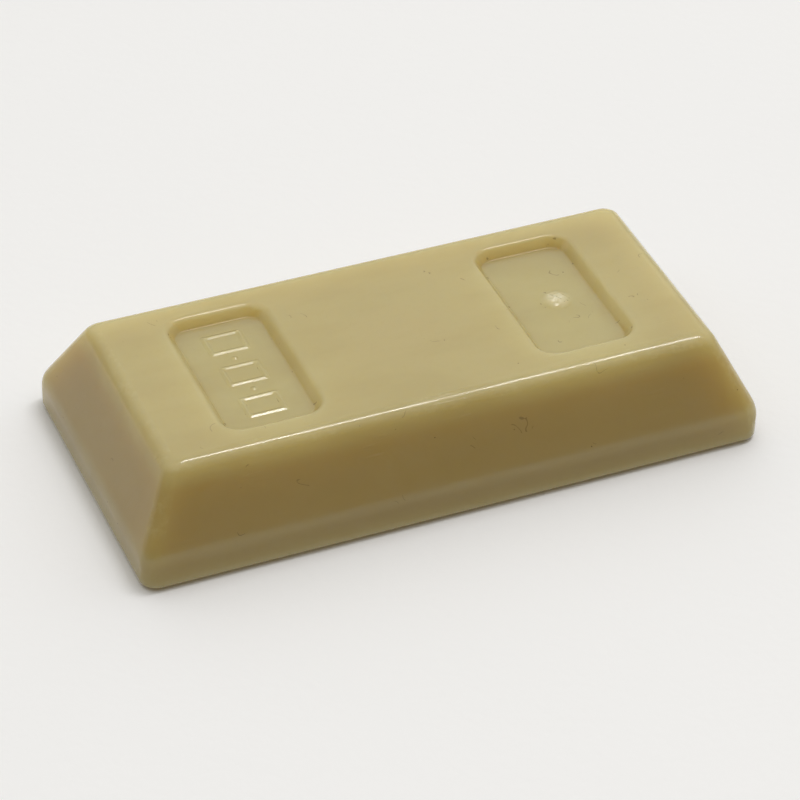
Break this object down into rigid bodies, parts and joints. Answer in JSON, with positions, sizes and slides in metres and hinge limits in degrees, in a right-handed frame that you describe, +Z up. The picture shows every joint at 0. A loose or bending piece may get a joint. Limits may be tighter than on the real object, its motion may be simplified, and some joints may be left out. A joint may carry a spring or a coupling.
{
  "type": "toy brick ingot",
  "caption": "Small glossy plastic ingot for a stud-grid building toy: a bar with sloping sides and shallow recesses in its top, hollow below so that it presses on to studs.",
  "frame": {"origin": "centre of the base, on the surface that the bar stands on", "axes": "+X along the length, towards the recess with the gate mound; +Z up, out of the top land"},
  "size_m": [0.0158, 0.0078, 0.0027],
  "materials": {
    "tan_plastic": "glossy"
  },
  "bodies": {
    "root": {"ingot_body": "tan_plastic"}
  },
  "joints": []
}
